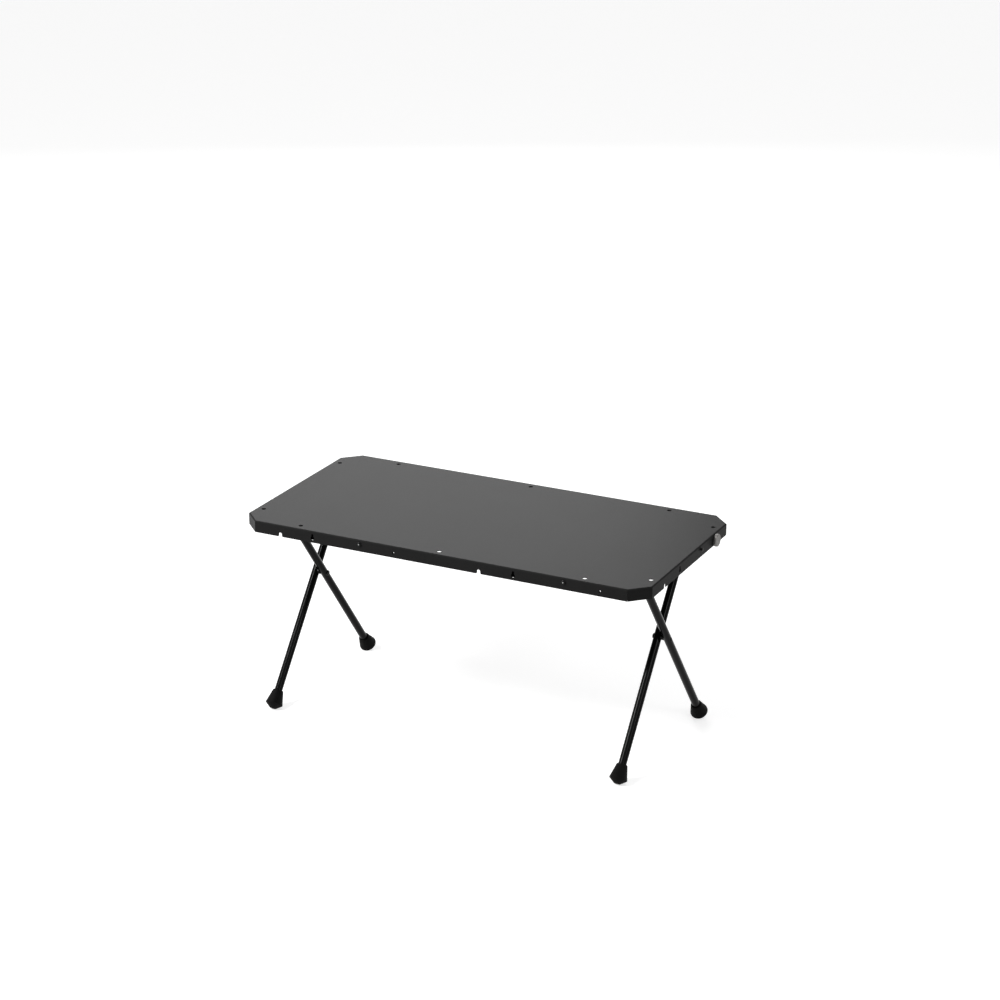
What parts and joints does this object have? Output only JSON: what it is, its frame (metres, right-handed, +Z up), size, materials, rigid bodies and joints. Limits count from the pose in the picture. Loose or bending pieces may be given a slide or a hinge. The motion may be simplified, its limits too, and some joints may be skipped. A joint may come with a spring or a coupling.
{
  "type": "folding camping table",
  "caption": "Low folding camping table: a chamfered black sheet-steel pan top with a punched apron, on crossed tube legs with rubber feet that swing in under it.",
  "frame": {"origin": "on the floor under the middle of the table", "axes": "+X along the long side, +Y to the back, +Z up"},
  "size_m": [0.871, 0.4432, 0.4167],
  "materials": {
    "pan_coat": "satin black powder coat",
    "frame_coat": "satin black powder coat",
    "foot_rubber": "matte moulded rubber",
    "knob_metal": "turned, lightly blasted",
    "dark_fastener": "black oxide",
    "bare_steel": "drawn bar"
  },
  "bodies": {
    "tabletop": {"top_pan": "pan_coat", "stiffener": "pan_coat", "link_stud_front_left": "dark_fastener", "keyhole_strap_front_left": "pan_coat", "link_stud_front_right": "dark_fastener", "keyhole_strap_front_right": "pan_coat", "link_stud_back_right": "dark_fastener", "keyhole_strap_back_right": "pan_coat", "link_stud_back_left": "dark_fastener", "keyhole_strap_back_left": "pan_coat", "link_stud_right_end": "dark_fastener", "keyhole_strap_right_end": "pan_coat", "link_stud_left_end": "dark_fastener", "keyhole_strap_left_end": "pan_coat", "right_lock_stud": "dark_fastener", "right_clamp_plate": "frame_coat", "right_hinge_rod": "bare_steel", "right_hinge_saddle_front": "frame_coat", "right_hinge_saddle_back": "frame_coat", "right_rod_clip_front": "dark_fastener", "right_rod_clip_back": "dark_fastener", "left_hinge_rod": "bare_steel", "left_hinge_saddle_front": "frame_coat", "left_hinge_saddle_back": "frame_coat", "left_rod_clip_front": "dark_fastener", "left_rod_clip_back": "dark_fastener"},
    "right_leg_frame": {"right_head_plate": "frame_coat", "right_inner_leg_tube": "frame_coat", "right_outer_leg_tube": "frame_coat", "right_inner_leg_foot": "foot_rubber", "right_outer_leg_foot": "foot_rubber", "right_cross_bolt": "dark_fastener", "right_cross_nut": "dark_fastener", "right_cross_washer_inner": "dark_fastener", "right_cross_washer_outer": "dark_fastener", "right_cross_spacer": "dark_fastener"},
    "left_leg_frame": {"left_head_plate": "frame_coat", "left_inner_leg_tube": "frame_coat", "left_outer_leg_tube": "frame_coat", "left_inner_leg_foot": "foot_rubber", "left_outer_leg_foot": "foot_rubber", "left_cross_bolt": "dark_fastener", "left_cross_nut": "dark_fastener", "left_cross_washer_inner": "dark_fastener", "left_cross_washer_outer": "dark_fastener", "left_cross_spacer": "dark_fastener"},
    "right_knob": {"right_knob": "knob_metal"}
  },
  "joints": [
    {"name": "right_leg_fold", "type": "hinge", "parent": "tabletop", "child": "right_leg_frame", "pos_m": [0.352, 0, 0.40819], "axis": [0, 1, 0], "range_deg": [0, 90]},
    {"name": "left_leg_fold", "type": "hinge", "parent": "tabletop", "child": "left_leg_frame", "pos_m": [-0.352, 0, 0.40819], "axis": [0, -1, 0], "range_deg": [0, 90]},
    {"name": "right_knob_turn", "type": "hinge", "parent": "tabletop", "child": "right_knob", "pos_m": [0.4335, 0.1247, 0.40274], "axis": [1, 0, 0], "continuous": true}
  ]
}
